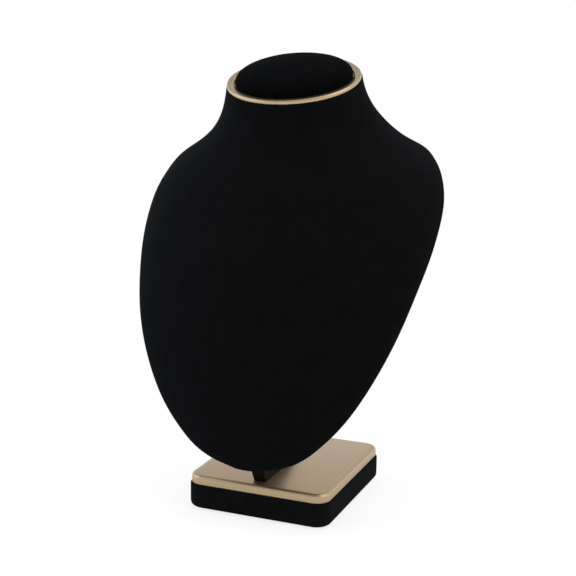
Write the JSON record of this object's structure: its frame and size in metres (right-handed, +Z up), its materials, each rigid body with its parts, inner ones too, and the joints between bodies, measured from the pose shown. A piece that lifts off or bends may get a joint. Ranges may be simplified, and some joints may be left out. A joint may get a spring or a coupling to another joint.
{
  "type": "necklace display bust",
  "caption": "Velvet-covered necklace bust with a slanted neck, a metal neck ring and a domed pad, held by a thin stem on a rounded block with a metal plate.",
  "frame": {"origin": "middle of the underside of the base, on the surface the stand rests on", "axes": "+Z up, -Y towards the front of the bust, +X to the viewer's right when facing the front"},
  "size_m": [0.2058, 0.1375, 0.3009],
  "materials": {
    "bust_velvet": "black flocked velvet",
    "panel_velvet": "black velvet on a bent board",
    "pad_velvet": "black brushed velvet",
    "block_velvet": "black velvet wrapped round a block",
    "gold_ring": "satin champagne gold",
    "gold_plate": "satin champagne gold",
    "stem_black": "satin black lacquer",
    "felt": "thin black felt",
    "screw_steel": "zinc-plated"
  },
  "bodies": {
    "root": {"bust_shell": "bust_velvet", "back_panel": "panel_velvet", "neck_ring": "gold_ring", "neck_pad": "pad_velvet", "stem": "stem_black", "base_plate": "gold_plate", "base_block": "block_velvet", "base_felt": "felt", "stem_screws": "screw_steel", "panel_screws": "screw_steel"}
  },
  "joints": []
}
